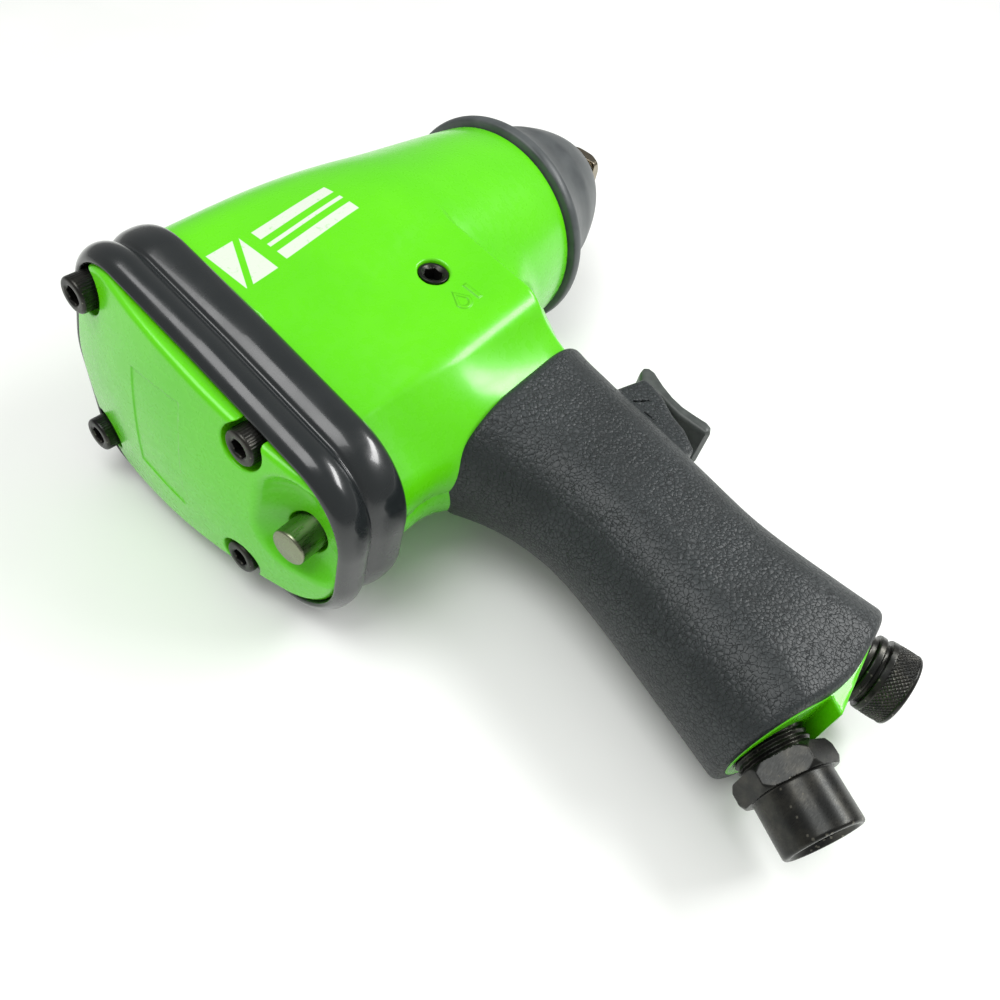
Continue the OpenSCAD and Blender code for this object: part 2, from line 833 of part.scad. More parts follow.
motor_housing();
rear_cover();
rear_gasket();
rear_bumper();
cover_screws();
cover_washers();
rear_end_plate();
rear_bearing();
motor_cylinder();
cylinder_pin();
rotor();
rotor_vanes();
front_end_plate();
front_bearing();
hammer_cage();
hammer_dog_rear();
hammer_dog_front();
hammer_pins();
anvil();
anvil_bushing();
anvil_o_ring();
socket_retainer_ring();
nose_boot();
reverse_plunger();
plunger_o_rings();
reverse_bushing();
detent_ball();
detent_spring();
detent_screw();
trigger();
trigger_pin();
throttle_stem();
throttle_bushing();
throttle_valve();
throttle_spring();
throttle_plug();
air_inlet();
inlet_seal();
inlet_screen();
regulator_knob();
regulator_o_ring();
regulator_retainer();
exhaust_mufflers();
oil_plug();
grip_sleeve();
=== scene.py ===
"""Looks of the impact wrench: shaped pieces, materials, floor, light and camera.

Shapes are worked out in millimetres, in the CAD frame, and turned into metres when a
mesh is made. Rounded castings and mouldings are surfaces of distance fields.
"""
import json
import math
import bpy
import numpy as np
from mathutils import Matrix, Vector


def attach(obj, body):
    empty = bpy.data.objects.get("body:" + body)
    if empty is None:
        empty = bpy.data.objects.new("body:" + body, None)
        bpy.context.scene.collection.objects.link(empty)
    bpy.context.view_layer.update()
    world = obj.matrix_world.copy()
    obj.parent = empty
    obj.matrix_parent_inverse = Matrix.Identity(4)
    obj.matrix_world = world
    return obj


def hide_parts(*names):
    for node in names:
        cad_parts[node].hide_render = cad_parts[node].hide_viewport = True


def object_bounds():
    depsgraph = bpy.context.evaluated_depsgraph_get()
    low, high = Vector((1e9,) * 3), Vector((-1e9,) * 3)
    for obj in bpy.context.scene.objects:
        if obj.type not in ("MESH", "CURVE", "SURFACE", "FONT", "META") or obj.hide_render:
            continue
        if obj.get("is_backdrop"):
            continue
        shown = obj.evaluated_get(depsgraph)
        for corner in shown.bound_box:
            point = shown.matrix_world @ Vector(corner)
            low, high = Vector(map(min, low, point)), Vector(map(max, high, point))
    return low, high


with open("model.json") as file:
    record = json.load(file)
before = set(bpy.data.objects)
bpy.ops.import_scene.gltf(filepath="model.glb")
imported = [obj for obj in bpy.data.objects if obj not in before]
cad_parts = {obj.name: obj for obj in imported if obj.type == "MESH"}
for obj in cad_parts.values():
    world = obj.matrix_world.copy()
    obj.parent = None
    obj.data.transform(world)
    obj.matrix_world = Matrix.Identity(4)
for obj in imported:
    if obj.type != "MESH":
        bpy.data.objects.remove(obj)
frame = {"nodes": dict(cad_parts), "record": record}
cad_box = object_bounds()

MM = 0.001

# ---- Stations of the CAD model, in millimetres ----
RIM_X = -52.6
SLAB_X = -97
SLAB_EDGE_Z = -12
SLAB_LEAN = math.radians(5)
JOINT_X = -163.0
DOME_X = -176.4
FLANGE_X = -152.6
GALLERY_Z = -42.0
RAKE = math.radians(4)
BARREL_GROW = 2.4
CROWN = (0, 10, 22)
SHOULDER = (15, 17, 12.5)
FLANK = (5.6, -5, 20.6)
# The cover's domed face: its sphere's radius and centre height
DOME_R = 180
DOME_Z = -8
# Scoop round the plunger: the spans of its flat bottom's middle, its depth station and radius
SCOOP_Y = (-10, -0.5)
SCOOP_Z = (-49, -43)
SCOOP_X = -177.5
SCOOP_R = 10.4
PANEL = ((-15.5, 5.7), (14.5, 5.7), (16, -10.5), (-18, -10.5))
PANEL_DEPTH = 0.3
SCREW_SEAT_R = 5.4
# The bumper's outline at its rear lip and round its front bead
REAR_OUTLINE = (CROWN, (19, 17, 11.5), (6.3, -5, 20.9), (5.5, -38, 16))
FRONT_OUTLINE = (CROWN, (16.2, 17.6, 13), (6, -9, 19.8), (5.2, -37.5, 16))
REAR_FOOT = (0, -38, 16)
# Keel sections at the slab's front edge and at the rear flange, as circles
KEEL_FRONT = ((0, 0, 33.2), (22.5, -40.5, 8), (8, -47, 7.5), (0, -30, 8))
KEEL_REAR = ((4.9, -5, 23), (17.1, -37.1, 3.6), (3, -45, 9.6), (0, -30, 8))
SCREWS = [(-169.8, 22.1, 23.8), (-168.8, 19.0, -28.2)]
PLUNGER_R = 5.0
PLUNGER_SPAN = (-177.1, -98.8)
# Inlet bushing: its mouth, lean, body, hexagon and bore
INLET_END = (-153.9, -161.6)
INLET_LEAN = math.radians(30)
INLET_R = 8.9
NUT_SPAN = (11.6, 16.8)
NUT_FLATS = 9.75
THREAD_PITCH = 1.35
KNOB_END = (-110.4, -161.7)
KNOB_LEAN = math.radians(-4.7)
PLUG_AT = (-113.6, -24)
PLUG_FACE = -29.1
PLUG_R = 3.6
PIVOT = (-91, -69.5)
GRIP_TOP = -54.5
STEM_Z = -83
GRIP_WALL = 3.2
# Handle sections: height, front x, rear x and half width of the rubber
HANDLE = np.array([
    (-40, -76.5, -150, 23), (-54.5, -85.3, -141, 20), (-68, -88.4, -136.8, 18),
    (-83, -91.4, -136.5, 17), (-99, -95.3, -140.6, 16.8), (-115, -99.1, -146.3, 17),
    (-136, -100.8, -153.9, 18.2), (-158, -100, -163, 16.6), (-175, -99, -168, 16)])
# Room for the trigger's arm and, in the rubber alone, for its blade: low and high corners
TRIGGER_SLOT = ((-98, -6.9, -74.2), (-60, 6.9, -65.4))
BLADE_ROOM = ((-88.6, -6.9, -94), (-60, 6.9, -70))
# The foot: where its level part ends, the slope behind, and how far the casting stands out
FOOT_AT = (-131.6, -148.6)
FOOT_SLOPE = math.radians(24)
FOOT_DROP = 0.3
# The lower step under the knob: along the knob's axis, and its gap to the inlet's axis
STEP_H = 13.2
STEP_SIDE = 8.8


# ---- Distance fields; every one is negative inside ----
def through(t, knots, values):
    """Smooth curve through the given points (cubic Hermite), level beyond the ends."""
    order = np.argsort(knots)
    k, v = np.asarray(knots, float)[order], np.asarray(values, float)[order]
    slope = np.gradient(v, k)
    t = np.clip(t, k[0], k[-1])
    i = np.clip(np.searchsorted(k, t) - 1, 0, len(k) - 2)
    span = k[i + 1] - k[i]
    u = (t - k[i]) / span
    return ((1 + 2 * u) * (1 - u) ** 2 * v[i] + u * (1 - u) ** 2 * span * slope[i]
            + u * u * (3 - 2 * u) * v[i + 1] + u * u * (u - 1) * span * slope[i + 1])


def ease(t, start, end):
    """0 before start, 1 after end, smooth in between."""
    u = np.clip((t - start) / (end - start), 0, 1)
    return u * u * (3 - 2 * u)


def join(a, b, fillet):
    """Union with a fillet of about this size."""
    h = np.maximum(fillet - np.abs(a - b), 0) / fillet
    return np.minimum(a, b) - h * h * fillet / 4


def meet(a, b, rounding):
    """Intersection with a rounded edge."""
    return -join(-a, -b, rounding)


def cut(a, b, rounding):
    """a with b taken away; the mouth of the cut is rounded."""
    return meet(a, -b, rounding)


def tapered(y, z, a, b):
    """Hull of two circles, each (y, z, radius); any of these may be arrays."""
    dy, dz = b[0] - a[0], b[1] - a[1]
    length = np.hypot(dy, dz)
    py, pz = y - a[0], z - a[1]
    along = (py * dy + pz * dz) / length
    across = np.abs(py * dz - pz * dy) / length
    lean = (a[2] - b[2]) / length
    flat = np.sqrt(1 - lean * lean)
    side = along * flat - across * lean
    near = np.hypot(along, across) - a[2]
    far = np.hypot(along - length, across) - b[2]
    between = across * flat + along * lean - a[2]
    return np.where(side < 0, near, np.where(side > flat * length, far, between))


def outline(y, z, circles):
    """Hull of circles listed round one side, mirrored in y."""
    y = np.abs(y)
    parts = [tapered(y, z, a, b) for a, b in zip(circles, circles[1:])]
    return np.minimum.reduce(parts)


def polygon_field(u, v, points):
    """Signed distance to any closed polygon."""
    p = np.asarray(points, float)
    q = np.roll(p, -1, axis=0)
    best = np.full(u.shape, 1e9)
    inside = np.zeros(u.shape, bool)
    for (au, av), (bu, bv) in zip(p, q):
        eu, ev = bu - au, bv - av
        t = np.clip(((u - au) * eu + (v - av) * ev) / (eu * eu + ev * ev), 0, 1)
        best = np.minimum(best, (u - au - t * eu) ** 2 + (v - av - t * ev) ** 2)
        if av != bv:
            crosses = (av > v) != (bv > v)
            inside ^= crosses & (u < au + (v - av) * eu / ev)
    return np.where(inside, -1, 1) * np.sqrt(best)


def box_field(x, y, z, low, high):
    d = [np.maximum(l - c, c - h) for c, l, h in zip((x, y, z), low, high)]
    return np.maximum.reduce(d)


def raked(x, z):
    """Height along, and height above, the leaning axis of the rear end."""
    dx, c, s = x - JOINT_X, math.cos(RAKE), math.sin(RAKE)
    return JOINT_X + dx * c - z * s, dx * s + z * c


def unraked(xr, y, zr):
    dx, c, s = xr - JOINT_X, math.cos(RAKE), math.sin(RAKE)
    return np.stack([JOINT_X + dx * c + zr * s, y, -dx * s + zr * c], axis=-1)


def about(x, z, end, lean):
    """Distance to the side of, and height along, an axis in the middle plane."""
    dx, dz, c, s = x - end[0], z - end[1], math.cos(lean), math.sin(lean)
    return dx * c - dz * s, dx * s + dz * c


def iso_mesh(name, field, low, high, step, coarse=4):
    """Closed smooth mesh of field == 0 in a box, by surface nets and Newton steps."""
    # The odd offset keeps flat faces off the grid's own planes
    low = np.asarray(low, float) - 0.37 * step
    count = [int(math.ceil((h - l) / step / coarse)) * coarse + 1
             for l, h in zip(low, high)]
    rough = [low[i] + step * coarse * np.arange((count[i] - 1) // coarse + 1) for i in range(3)]
    grid = np.meshgrid(*rough, indexing="ij")
    first = field(*[g.ravel() for g in grid]).reshape(grid[0].shape)
    value = first.astype(np.float32)
    for axis in range(3):
        value = np.repeat(value, coarse, axis=axis)
        value = np.take(value, range(count[axis]), axis=axis)
    near = np.argwhere(np.abs(value) < step * coarse * 2.6)
    for start in range(0, len(near), 400000):
        part = near[start:start + 400000]
        at = low + part * step
        value[part[:, 0], part[:, 1], part[:, 2]] = field(at[:, 0], at[:, 1], at[:, 2])
    cells = [c - 1 for c in count]
    total = np.zeros((3, cells[0] * cells[1] * cells[2]))
    hits = np.zeros(cells[0] * cells[1] * cells[2])
    quads = []
    stride = np.array([cells[1] * cells[2], cells[2], 1])
    inside = value < 0
    for axis in range(3):
        here = [slice(None)] * 3
        there = [slice(None)] * 3
        here[axis], there[axis] = slice(0, -1), slice(1, None)
        swaps = inside[tuple(here)] != inside[tuple(there)]
        edge = np.argwhere(swaps)
        a = value[tuple(here)][swaps]
        b = value[tuple(there)][swaps]
        point = edge.astype(float)
        point[:, axis] += a / (a - b)
        u, v = (axis + 1) % 3, (axis + 2) % 3
        keep = ((edge[:, u] > 0) & (edge[:, v] > 0)
                & (edge[:, u] < cells[u]) & (edge[:, v] < cells[v]))
        edge, point, a = edge[keep], point[keep], a[keep]
        corner = []
        for du, dv in ((0, 0), (1, 0), (1, 1), (0, 1)):
            cell = edge.copy()
            cell[:, u] -= du
            cell[:, v] -= dv
            index = cell @ stride
            corner.append(index)
            hits += np.bincount(index, minlength=len(hits))
            for k in range(3):
                total[k] += np.bincount(index, point[:, k], minlength=len(hits))
        quad = np.stack(corner, axis=1)
        quad[a > 0] = quad[a > 0][:, ::-1]
        quads.append(quad)
    used = np.flatnonzero(hits)
    place = np.zeros(len(hits), np.int64)
    place[used] = np.arange(len(used))
    verts = low + (total[:, used] / hits[used]).T * step
    faces = place[np.concatenate(quads)]
    normals = None
    for _ in range(4):
        normals, value_at = gradient(field, verts)
        size = np.maximum((normals ** 2).sum(1), 0.05)
        move = -(value_at / size)[:, None] * normals
        length = np.sqrt((move ** 2).sum(1))
        move *= np.minimum(1, 0.5 * step / np.maximum(length, 1e-9))[:, None]
        verts = verts + move
    normals, _ = gradient(field, verts)
    normals /= np.maximum(np.linalg.norm(normals, axis=1), 1e-9)[:, None]
    return make_mesh(name, verts, faces, normals)


def gradient(field, p, reach=0.04):
    base = field(p[:, 0], p[:, 1], p[:, 2])
    out = np.empty_like(p)
    for axis in range(3):
        q = p.copy()
        q[:, axis] += reach
        out[:, axis] = (field(q[:, 0], q[:, 1], q[:, 2]) - base) / reach
    return out, base


def make_mesh(name, verts, faces, normals=None):
    """An object from millimetre points, smooth shaded, with its normals if given."""
    mesh = bpy.data.meshes.new(name)
    sides = faces.shape[1]
    mesh.vertices.add(len(verts))
    mesh.vertices.foreach_set("co", (np.asarray(verts) * MM).astype(np.float32).ravel())
    mesh.loops.add(faces.size)
    mesh.loops.foreach_set("vertex_index", faces.astype(np.int32).ravel())
    mesh.polygons.add(len(faces))
    mesh.polygons.foreach_set("loop_start", np.arange(0, faces.size, sides, dtype=np.int32))
    mesh.update(calc_edges=True)
    mesh.validate()
    mesh.polygons.foreach_set("use_smooth", np.ones(len(mesh.polygons), bool))
    if normals is not None and len(normals) == len(mesh.vertices):
        mesh.normals_split_custom_set_from_vertices(normals.astype(float).tolist())
    obj = bpy.data.objects.new(name, mesh)
    bpy.context.scene.collection.objects.link(obj)
    return obj


def sheet(name, rows, close_rows=False):
    """Mesh of a grid of points, rows x columns x 3; each row closes on itself."""
    n, m = rows.shape[:2]
    i = np.arange(n if close_rows else n - 1)[:, None]
    j = np.arange(m)[None, :]
    k, l = (i + 1) % n, (j + 1) % m
    quads = np.stack([i * m + j, i * m + l, k * m + l, k * m + j], axis=-1).reshape(-1, 4)
    return make_mesh(name, rows.reshape(-1, 3), quads)


def soften(profile, steps=6):
    """A rounder version of a profile: a curve through its points, finely stepped."""
    p = np.asarray(profile, float)
    run = np.concatenate([[0], np.cumsum(np.hypot(*np.diff(p, axis=0).T))])
    t = np.concatenate([np.linspace(a, b, steps, endpoint=False)
                        for a, b in zip(run, run[1:])] + [[run[-1]]])
    return np.stack([through(t, run, p[:, 0]), through(t, run, p[:, 1])], axis=1)


def lathe(name, profile, place, segments=160):
    """Turns a profile of (radius, height) and puts each point where place says."""
    turn = np.arange(segments) * 2 * math.pi / segments
    p = np.asarray(profile, float)
    u = p[:, :1] * np.cos(turn)
    v = p[:, :1] * np.sin(turn)
    h = np.repeat(p[:, 1:], segments, axis=1)
    return sheet(name, place(u, v, h))


def on_drive(u, v, h):
    return np.stack([h, u, v], axis=-1)


# ---- Castings ----
BARREL_X = (-160, -148, -136, -124, -112, -100, -88, -76, -64, -52.6, -40)
BARREL_R = (38.3, 38.1, 37.8, 37.2, 36.3, 35.1, 33.6, 32.2, 30.8, 29.2, 27.6)


def barrel_field(x, y, z):
    radius = through(x, BARREL_X, BARREL_R)
    round_part = np.hypot(y, z) - radius
    square = outline(y, z, (CROWN, SHOULDER, FLANK)) - BARREL_GROW
    blend = ease(x, -88, -156)
    return meet((1 - blend) * round_part + blend * square, x - RIM_X, 0.8)


def keel_field(x, y, z):
    share = np.clip((SLAB_X - x) / (SLAB_X - FLANGE_X), -0.1, 1.1)
    circles = [tuple((1 - share) * p + share * q for p, q in zip(a, b))
               for a, b in zip(KEEL_FRONT, KEEL_REAR)]
    c, s = math.cos(SLAB_LEAN), math.sin(SLAB_LEAN)
    face = (x - SLAB_X) * c - (z - SLAB_EDGE_Z) * s
    return meet(outline(y, z, circles), np.maximum(face, x - SLAB_X), 1.6)


def handle_field(x, y, z, inset):
    front = through(z, HANDLE[:, 0], HANDLE[:, 1]) - inset
    rear = through(z, HANDLE[:, 0], HANDLE[:, 2]) + inset
    half = through(z, HANDLE[:, 0], HANDLE[:, 3]) - inset
    middle = np.clip(x, rear + half, front - half)
    return np.hypot(x - middle, y) - half


def foot_plane(x, z, drop):
    """Positive below the handle's foot: level in front, sloping up to the rear."""
    dx, dz = x - FOOT_AT[0], z - FOOT_AT[1] + drop
    return meet(-dz * math.cos(FOOT_SLOPE) - dx * math.sin(FOOT_SLOPE), -dz, 3)


def casting_foot(x, z):
    """Positive below the casting: flush round the inlet, one step lower at the knob."""
    side, _ = about(x, z, INLET_END, INLET_LEAN)
    _, along = about(x, z, KNOB_END, KNOB_LEAN)
    step = np.maximum(STEP_H - along, STEP_SIDE - side)
    return np.minimum(foot_plane(x, z, FOOT_DROP), step)


def housing_field(x, y, z):
    body = join(barrel_field(x, y, z), keel_field(x, y, z), 1.2)
    neck = meet(handle_field(x, y, z, GRIP_WALL), z + 34, 2)
    neck = meet(neck, casting_foot(x, z), 0.6)
    body = join(body, neck, 11)
    xr, _ = raked(x, z)
    body = meet(body, FLANGE_X - 0.3 - xr, 0.6)
    # Seat of the oil plug, trigger slot and the reverse plunger's front hole
    plug = np.hypot(x - PLUG_AT[0], z - PLUG_AT[1])
    body = cut(body, np.maximum(plug - PLUG_R - 0.12, y + 18), 0.7)
    slot = box_field(x, y, z, *TRIGGER_SLOT)
    body = cut(body, slot, 0.6)
    front_hole = np.maximum(np.hypot(y, z - GALLERY_Z) - PLUNGER_R - 0.1, -104 - x)
    body = cut(body, front_hole, 0.6)
    side, along = about(x, z, INLET_END, INLET_LEAN)
    inlet = np.maximum(np.hypot(side, y) - 8.1, along - 40)
    return cut(body, inlet, 0.5)


def cover_field(x, y, z):
    xr, zr = raked(x, z)
    rim = outline(y, zr, (*REAR_OUTLINE, REAR_FOOT))
    dome = np.sqrt((xr - DOME_X - DOME_R) ** 2 + y * y + (zr - DOME_Z) ** 2) - DOME_R
    body = meet(np.maximum(rim, xr - JOINT_X + 1), dome, 1.5)
    # Seats of the four screws
    for seat, sy, sz in SCREWS:
        hole = np.maximum(np.hypot(np.abs(y) - sy, zr - sz) - SCREW_SEAT_R, xr - seat)
        body = cut(body, hole, 0.5)
    # Scoop round the reverse plunger
    past_y = y - np.clip(y, *SCOOP_Y)
    past_z = zr - np.clip(zr, *SCOOP_Z)
    scoop = np.sqrt((xr - SCOOP_X) ** 2 + past_y ** 2 + past_z ** 2) - SCOOP_R
    body = cut(body, scoop, 1.4)
    hole = np.hypot(y, z - GALLERY_Z) - PLUNGER_R - 0.12
    body = cut(body, hole, 0.3)
    # Shallow label panel with a crisp border
    panel = polygon_field(y, zr, PANEL)
    return body + PANEL_DEPTH * (1 - ease(panel, -0.3, 0.1))


housing = iso_mesh("housing_shell", housing_field, (-156, -36, -160), (-51, 36, 38), 0.55)
cover = iso_mesh("cover_shell", cover_field, (-179, -32, -58), (-161, 32, 36), 0.35)


# ---- Bumper: a two-bead band round the cover ----
def walk_outline(circles, count=480):
    """Even steps round the hull of mirrored circles, as points and outward normals."""
    turn = np.arange(count) * 2 * math.pi / count
    ny, nz = np.cos(turn), np.sin(turn)
    reach = np.stack([s * c[0] * ny + c[1] * nz + c[2] for c in circles for s in (-1, 1)])
    pick = reach.argmax(0)
    cy = np.array([s * c[0] for c in circles for s in (-1, 1)])[pick]
    cz = np.array([c[1] for c in circles for s in (-1, 1)])[pick]
    r = np.array([c[2] for c in circles for s in (-1, 1)])[pick]
    y, z = cy + r * ny, cz + r * nz
    return y, z, ny, nz


def fine_outline(circles, count=640):
    """The same outline at even spacing, with flats filled in."""
    y, z, ny, nz = walk_outline(circles, 2880)
    run = np.concatenate([[0], np.cumsum(np.hypot(np.diff(y), np.diff(z)))])
    whole = run[-1] + math.hypot(y[0] - y[-1], z[0] - z[-1])
    t = np.arange(count) * whole / count
    closed = [np.append(a, a[0]) for a in (y, z, ny, nz)]
    run = np.append(run, whole)
    y, z, ny, nz = [np.interp(t, run, a) for a in closed]
    size = np.hypot(ny, nz)
    return y, z, ny / size, nz / size


BAND = [(-168.9, 0.12), (-170.3, 0.16), (-171.1, 0.32), (-171.35, 0.8), (-171.1, 1.5),
        (-170.4, 2.3), (-169.2, 3.05), (-167.4, 3.5), (-165.4, 3.3), (-163.7, 2.5),
        (-162.6, 1.7), (-161.6, 2.5), (-159.9, 3.4), (-157.4, 3.8), (-154.9, 3.6),
        (-153.3, 2.9), (-152.6, 2.0), (-152.5, 0.8), (-153.2, 0.15)]


def band(name, profile):
    """A closed band whose profile gives x and how far it stands off the outline."""
    rows = []
    for x, grow in profile:
        share = ease(x, -169, -158)
        circles = [[(1 - share) * p + share * q for p, q in zip(a, b)]
                   for a, b in zip(REAR_OUTLINE, FRONT_OUTLINE)]
        y, z, ny, nz = fine_outline(circles)
        rows.append(unraked(np.full(len(y), x), y + grow * ny, z + grow * nz))
    return sheet(name, np.array(rows), close_rows=True)


bumper = band("bumper_band", soften(BAND, 5))
gasket = band("gasket_ring", [(-163.2, -4.2), (-163.2, -0.2), (-162.75, -0.2), (-162.75, -4.2)])

# ---- Nose ----
BOOT = [(30.0, -52.2), (30.9, -51.9), (31.35, -50.9), (31.3, -49.4), (30.6, -48.2),
        (29.3, -47.3), (27.9, -45.0), (26.4, -42.2), (25.2, -39.6), (24.2, -37),
        (23.4, -34), (22.7, -30.5), (21.5, -27.2), (20.2, -24), (18.6, -20.6),
        (16.6, -17), (14.4, -13.8), (12.9, -12.0), (12.1, -11.3), (11.3, -11.2),
        (10.9, -11.8), (10.8, -13)]
boot = lathe("boot_shell", [(27.7, -52.2)] + list(map(tuple, soften(BOOT, 5))), on_drive, 240)


def drive_field(x, y, z):
    square = meet(np.abs(y) - 6.35, np.abs(z) - 6.35, 0.9)
    turned = np.hypot(y, z) - 8.3 + np.maximum(0, x + 1.6) * 0.9
    tip = np.maximum(meet(square, turned, 0.5), x)
    shank = np.maximum(np.hypot(y, z) - 9.5, x + 14.2)
    body = join(meet(tip, -x - 16, 0.3), meet(shank, -x - 24, 0.3), 1.5)
    groove = np.maximum(np.abs(x + 4.7) - 0.95, 5.6 - np.hypot(y, z))
    return cut(body, groove, 0.3)


anvil = iso_mesh("drive_end", drive_field, (-25, -10.5, -10.5), (0.6, 10.5, 10.5), 0.22)


def retainer_field(x, y, z):
    ring = np.hypot(np.hypot(y, z) - 6.15, x + 4.7) - 0.72
    gap = np.maximum(np.abs(y) - 0.8, -z)
    return cut(ring, gap, 0.2)


retainer = iso_mesh("drive_ring", retainer_field, (-6, -8, -8), (-3.4, 8, 8), 0.2)


# ---- Screws, washers, plug and plunger ----
def hexagon(u, v, flats):
    """Signed distance to a regular hexagon by its half width across flats."""
    d = [np.abs(u * math.cos(a) + v * math.sin(a)) for a in (0, math.pi / 3, 2 * math.pi / 3)]
    return np.maximum.reduce(d) - flats


def screw_field(x, y, z):
    """A socket head on its own axis along x; x = 0 under the head, the top at -5."""
    r = np.hypot(y, z)
    head = meet(r - 4.25, -x - 5, 0.9)
    head = meet(head, x, 0.2)
    socket = np.maximum(hexagon(y, z, 2.02), x + 2.2)
    lead_in = r - 2.6 + (x + 5) * 1.4
    socket = np.minimum(socket, np.maximum(lead_in, x + 4))
    knurl = 0.07 * np.maximum(0, np.cos(36 * np.arctan2(y, z))) * ease(r, 3.9, 4.2)
    shank = np.maximum(r - 2.45, x - 9)
    shank = np.maximum(shank, -1 - x)
    return np.minimum(cut(head, socket, 0.15) + knurl * ease(x, -4.4, -4.0), shank)


def placed_copies(name, base, places):
    """One object holding a copy of base at each (x, y, z) of the raked rear end."""
    count = len(base.data.vertices)
    co = np.empty(count * 3)
    base.data.vertices.foreach_get("co", co)
    co = co.reshape(-1, 3) / MM
    loops = np.empty(len(base.data.loops), np.int64)
    base.data.loops.foreach_get("vertex_index", loops)
    faces = loops.reshape(-1, 4)
    verts, quads = [], []
    for i, (x, y, z) in enumerate(places):
        verts.append(unraked(co[:, 0] + x, co[:, 1] + y, co[:, 2] + z))
        quads.append(faces + i * count)
    bpy.data.objects.remove(base)
    return make_mesh(name, np.concatenate(verts), np.concatenate(quads))


HEADS = [(seat - 1, s * y, z) for seat, y, z in SCREWS for s in (-1, 1)]
screw = iso_mesh("screw_blank", screw_field, (-5.6, -4.9, -4.9), (9.6, 4.9, 4.9), 0.16)
screws = placed_copies("screw_heads", screw, HEADS)


def washer_field(x, y, z):
    r = np.hypot(y, z)
    ring = meet(meet(np.abs(r - 3.4) - 0.85, np.abs(x - 0.5) - 0.47, 0.25), r - 4.2, 0.2)
    split = np.maximum(np.abs(y - 0.5 * x) - 0.4, -z)
    return cut(ring, split, 0.1)


washer = iso_mesh("washer_blank", washer_field, (-0.5, -4.8, -4.8), (1.5, 4.8, 4.8), 0.16)
washers = placed_copies("spring_washers", washer, HEADS)

rear, front = PLUNGER_SPAN
ROD = [(0.01, rear), (3.9, rear + 0.02), (4.2, rear + 0.1), (4.35, rear + 0.3),
       (4.4, rear + 0.8), (4.4, -168.2), (4.9, -167.6), (5.0, -166.8), (5.0, -150),
       (5.0, front - 0.8), (4.3, front - 0.05), (0.01, front)]
rod = lathe("plunger_rod", ROD, lambda u, v, h: np.stack([h, u, v + GALLERY_Z], -1), 128)


def plug_field(x, y, z):
    dx, dz = x - PLUG_AT[0], z - PLUG_AT[1]
    r = np.hypot(dx, dz)
    body = meet(r - PLUG_R, PLUG_FACE - y, 0.35)
    body = np.maximum(body, y + 22.4)
    socket = np.maximum(hexagon(dx, dz, 2.0), y + 25.5)
    lead_in = r - 2.9 + (y - PLUG_FACE) * 1.2
    return cut(body, np.minimum(socket, np.maximum(lead_in, y + 27)), 0.12)


plug = iso_mesh("plug_screw", plug_field, (-118, -30.2, -28.4), (-109, -21.8, -19.4), 0.16)


# ---- Grip and trigger ----
COLLAR = ((-110, -68.6), (-89, -68.6), (-80.8, -71.4), (-81.2, -74.4), (-83, -78.6),
          (-86.6, -83.6), (-88.6, -88.4), (-92.4, -93), (-110, -93))

# Creases in the collar's cheeks: middle point, direction and half length
CREASES = ((-89.2, -75.3, 0.81, -0.6, 2.3), (-92.3, -79.8, 0.1, 1, 1.7))


def grip_field(x, y, z):
    body = handle_field(x, y, z, 0)
    collar = meet(polygon_field(x, z, COLLAR) - 0.2, np.abs(y) - 9.6, 2.4)
    body = join(body, collar, 1.8)
    body = meet(body, z - GRIP_TOP, 2.4)
    body = meet(body, foot_plane(x, z, 0), 2.2)
    slot = box_field(x, y, z, *TRIGGER_SLOT)
    # Two creases where the collar wraps round the trigger's throat
    for x0, z0, ux, uz, half in CREASES:
        along = (x - x0) * ux + (z - z0) * uz
        across = (z - z0) * ux - (x - x0) * uz
        crease = np.hypot(across, np.maximum(np.abs(along) - half, 0)) - 0.22
        body = cut(body, np.maximum(crease, 8.6 - np.abs(y)), 0.15)
    stem = np.maximum(np.hypot(y, z - STEM_Z) - 4.6, -100 - x)
    throat = box_field(x, y, z, *BLADE_ROOM)
    return cut(body, np.minimum(np.minimum(slot, throat), stem), 0.8)


grip = iso_mesh("grip_rubber", grip_field, (-168, -22, -158), (-82, 22, -52), 0.5)

BLADE = ((-75.9, -68.5), (-74.2, -68.3), (-73.1, -69.3), (-73.3, -71.4), (-75.8, -75.6),
         (-77.6, -79.6), (-78.5, -83.2), (-78.6, -87.2), (-78.5, -90.6), (-79.2, -92.2),
         (-80.8, -92.9), (-82.3, -92.1), (-82.2, -88), (-82.0, -84), (-81.1, -80.4),
         (-79.8, -76.8), (-79.4, -72.9), (-94, -72.9), (-94, -66.2), (-88.4, -66.2),
         (-84.6, -69.8), (-79.2, -70.2))


def trigger_field(x, y, z):
    side = polygon_field(x, z, BLADE)
    width = 5.6 + 0.9 * ease(x, -85.2, -84.2)
    body = meet(side - 0.1, np.abs(y) - width, 1.6)
    pin = np.hypot(x - PIVOT[0], z - PIVOT[1]) - 1.55
    return cut(body, pin, 0.2)


trigger = iso_mesh("trigger_blade", trigger_field, (-95, -7.4, -94.2), (-72, 7.4, -65), 0.26)


